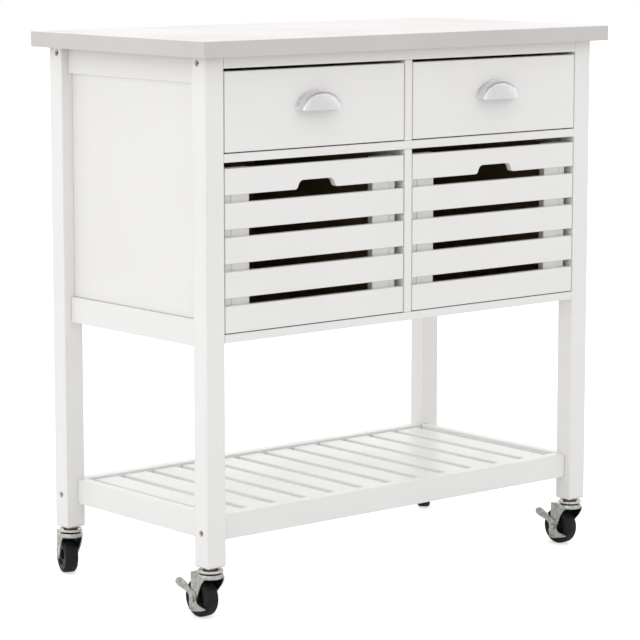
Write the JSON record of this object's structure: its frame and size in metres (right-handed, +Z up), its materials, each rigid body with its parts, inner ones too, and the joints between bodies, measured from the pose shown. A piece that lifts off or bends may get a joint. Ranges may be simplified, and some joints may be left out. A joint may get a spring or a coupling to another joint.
{
  "type": "kitchen island cart",
  "caption": "White painted kitchen cart with worktop, drawers with cup pulls, slatted pull-out crates, slatted lower shelf and swivel casters with side brakes.",
  "frame": {"origin": "on the floor, under the middle of the worktop", "axes": "+X along the width to the right as seen from the front, -Y towards the front where the drawers open, +Z up"},
  "size_m": [0.8543, 0.4615, 0.882],
  "materials": {
    "white_paint": "off-white satin paint",
    "pale_wood": "bare, smooth",
    "worktop_steel": "thin satin stainless sheet over a wood core",
    "satin_nickel": "satin nickel plate",
    "zinc_plate": "zinc plate",
    "black_rubber": "matt black"
  },
  "bodies": {
    "cart": {"worktop": "worktop_steel", "leg_front_left": "white_paint", "leg_front_right": "white_paint", "leg_back_left": "white_paint", "leg_back_right": "white_paint", "side_rail_upper_left": "white_paint", "side_rail_upper_right": "white_paint", "side_rail_lower_left": "white_paint", "side_rail_lower_right": "white_paint", "side_panel_left": "white_paint", "side_panel_right": "white_paint", "back_rail_upper": "white_paint", "back_rail_lower": "white_paint", "back_panel": "white_paint", "front_rail": "white_paint", "middle_board": "white_paint", "floor_board": "white_paint", "divider_upper": "white_paint", "divider_lower": "white_paint", "shelf_rail_front": "white_paint", "shelf_rail_back": "white_paint", "shelf_rail_left": "white_paint", "shelf_rail_right": "white_paint", "shelf_slats": "white_paint", "caster_stem_front_left": "zinc_plate", "caster_stem_front_right": "zinc_plate", "caster_stem_back_left": "zinc_plate", "caster_stem_back_right": "zinc_plate"},
    "drawer_left": {"drawer_front_left": "white_paint", "drawer_left_wall_left": "pale_wood", "drawer_left_wall_right": "pale_wood", "drawer_left_bottom": "pale_wood", "drawer_left_back": "pale_wood", "cup_pull_left": "satin_nickel"},
    "drawer_right": {"drawer_front_right": "white_paint", "drawer_right_wall_left": "pale_wood", "drawer_right_wall_right": "pale_wood", "drawer_right_bottom": "pale_wood", "drawer_right_back": "pale_wood", "cup_pull_right": "satin_nickel"},
    "crate_left": {"crate_left_front": "white_paint", "crate_left_wall_left": "white_paint", "crate_left_wall_right": "white_paint", "crate_left_floor": "pale_wood", "crate_left_back": "pale_wood"},
    "crate_right": {"crate_right_front": "white_paint", "crate_right_wall_left": "white_paint", "crate_right_wall_right": "white_paint", "crate_right_floor": "pale_wood", "crate_right_back": "pale_wood"},
    "fork_front_left": {"caster_fork_front_left": "zinc_plate"},
    "fork_front_right": {"caster_fork_front_right": "zinc_plate"},
    "fork_back_left": {"caster_fork_back_left": "zinc_plate"},
    "fork_back_right": {"caster_fork_back_right": "zinc_plate"},
    "wheel_front_left": {"caster_wheel_front_left": "black_rubber"},
    "wheel_front_right": {"caster_wheel_front_right": "black_rubber"},
    "wheel_back_left": {"caster_wheel_back_left": "black_rubber"},
    "wheel_back_right": {"caster_wheel_back_right": "black_rubber"},
    "lever_left": {"brake_lever_left": "zinc_plate"},
    "lever_right": {"brake_lever_right": "zinc_plate"}
  },
  "joints": [
    {"name": "drawer_left_slide", "type": "slide", "parent": "cart", "child": "drawer_left", "axis": [0, -1, 0], "range_m": [0, 0.25]},
    {"name": "drawer_right_slide", "type": "slide", "parent": "cart", "child": "drawer_right", "axis": [0, -1, 0], "range_m": [0, 0.25]},
    {"name": "crate_left_slide", "type": "slide", "parent": "cart", "child": "crate_left", "axis": [0, -1, 0], "range_m": [0, 0.3]},
    {"name": "crate_right_slide", "type": "slide", "parent": "cart", "child": "crate_right", "axis": [0, -1, 0], "range_m": [0, 0.3]},
    {"name": "swivel_front_left", "type": "hinge", "parent": "cart", "child": "fork_front_left", "pos_m": [-0.3875, -0.185, 0.0715], "axis": [0, 0, 1], "continuous": true},
    {"name": "swivel_front_right", "type": "hinge", "parent": "cart", "child": "fork_front_right", "pos_m": [0.3875, -0.185, 0.0715], "axis": [0, 0, 1], "continuous": true},
    {"name": "swivel_back_left", "type": "hinge", "parent": "cart", "child": "fork_back_left", "pos_m": [-0.3875, 0.185, 0.0715], "axis": [0, 0, 1], "continuous": true},
    {"name": "swivel_back_right", "type": "hinge", "parent": "cart", "child": "fork_back_right", "pos_m": [0.3875, 0.185, 0.0715], "axis": [0, 0, 1], "continuous": true},
    {"name": "roll_front_left", "type": "hinge", "parent": "fork_front_left", "child": "wheel_front_left", "pos_m": [-0.3875, -0.1635, 0.0298], "axis": [1, 0, 0], "continuous": true},
    {"name": "roll_front_right", "type": "hinge", "parent": "fork_front_right", "child": "wheel_front_right", "pos_m": [0.3875, -0.1635, 0.0298], "axis": [1, 0, 0], "continuous": true},
    {"name": "roll_back_left", "type": "hinge", "parent": "fork_back_left", "child": "wheel_back_left", "pos_m": [-0.3805, 0.20533, 0.0298], "axis": [0.9455, -0.3256, 0], "continuous": true},
    {"name": "roll_back_right", "type": "hinge", "parent": "fork_back_right", "child": "wheel_back_right", "pos_m": [0.40243, 0.20047, 0.0298], "axis": [0.7193, -0.6947, 0], "continuous": true},
    {"name": "brake_left", "type": "hinge", "parent": "fork_front_left", "child": "lever_left", "pos_m": [-0.3875, -0.1635, 0.0298], "axis": [-1, 0, 0], "range_deg": [0, 22]},
    {"name": "brake_right", "type": "hinge", "parent": "fork_front_right", "child": "lever_right", "pos_m": [0.3875, -0.1635, 0.0298], "axis": [-1, 0, 0], "range_deg": [0, 22]}
  ]
}
